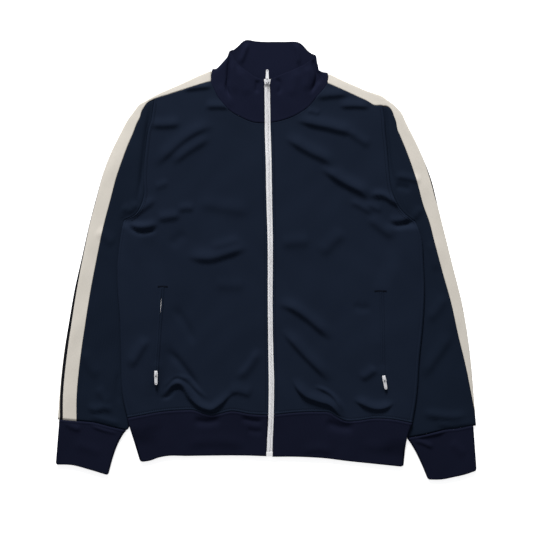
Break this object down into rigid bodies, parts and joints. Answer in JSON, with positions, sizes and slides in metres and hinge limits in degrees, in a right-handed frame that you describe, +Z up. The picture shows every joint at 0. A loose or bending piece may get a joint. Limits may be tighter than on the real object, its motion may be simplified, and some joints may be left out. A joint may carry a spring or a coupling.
{
  "type": "track jacket",
  "caption": "Navy knit track jacket laid flat, zipped up, with cream side bands, a rib stand collar, rib cuffs and hem and zipped side pockets; the zip pulls swing.",
  "frame": {"origin": "on the floor under the middle of the laid-out jacket's bounding box", "axes": "+Z up from the floor, through the layers; +Y from the hem to the collar; +X towards the wearer's left side, which is the viewer's right"},
  "size_m": [0.7573, 0.7908, 0.016],
  "materials": {
    "navy_cloth": "smooth knit, slight sheen",
    "navy_rib": "rib knit, matt",
    "cream_band": "smooth knit, matt",
    "zip_white": "satin",
    "pull_white": "gloss white"
  },
  "bodies": {
    "jacket": {"back": "navy_cloth", "front_right": "navy_cloth", "front_left": "navy_cloth", "sleeve_right": "navy_cloth", "sleeve_left": "navy_cloth", "piping_right": "navy_cloth", "piping_left": "navy_cloth", "pocket_welt_right": "navy_cloth", "pocket_welt_left": "navy_cloth", "collar": "navy_rib", "hem_rib": "navy_rib", "cuff_right": "navy_rib", "cuff_left": "navy_rib", "pocket_zip_right": "zip_white", "pocket_zip_left": "zip_white", "band_front_right": "cream_band", "band_front_left": "cream_band", "band_back_right": "cream_band", "band_back_left": "cream_band", "zip_tape_right": "zip_white", "zip_tape_left": "zip_white", "zip_box": "zip_white", "zip_slider": "pull_white", "pocket_slider_right": "pull_white", "pocket_slider_left": "pull_white"},
    "zip_pull": {"zip_pull": "pull_white"},
    "pocket_pull_right": {"pocket_pull_right": "pull_white"},
    "pocket_pull_left": {"pocket_pull_left": "pull_white"}
  },
  "joints": [
    {"name": "zip_pull_hinge", "type": "hinge", "parent": "jacket", "child": "zip_pull", "pos_m": [0.002, 0.3192, 0.01132], "axis": [1, 0, 0], "range_deg": [0, 180]},
    {"name": "pocket_pull_right_hinge", "type": "hinge", "parent": "jacket", "child": "pocket_pull_right", "pos_m": [-0.1976, -0.2045, 0.01357], "axis": [-1, -0.0087, 0], "range_deg": [0, 180]},
    {"name": "pocket_pull_left_hinge", "type": "hinge", "parent": "jacket", "child": "pocket_pull_left", "pos_m": [0.2116, -0.213, 0.01315], "axis": [-0.9848, -0.1736, 0], "range_deg": [0, 180]}
  ]
}
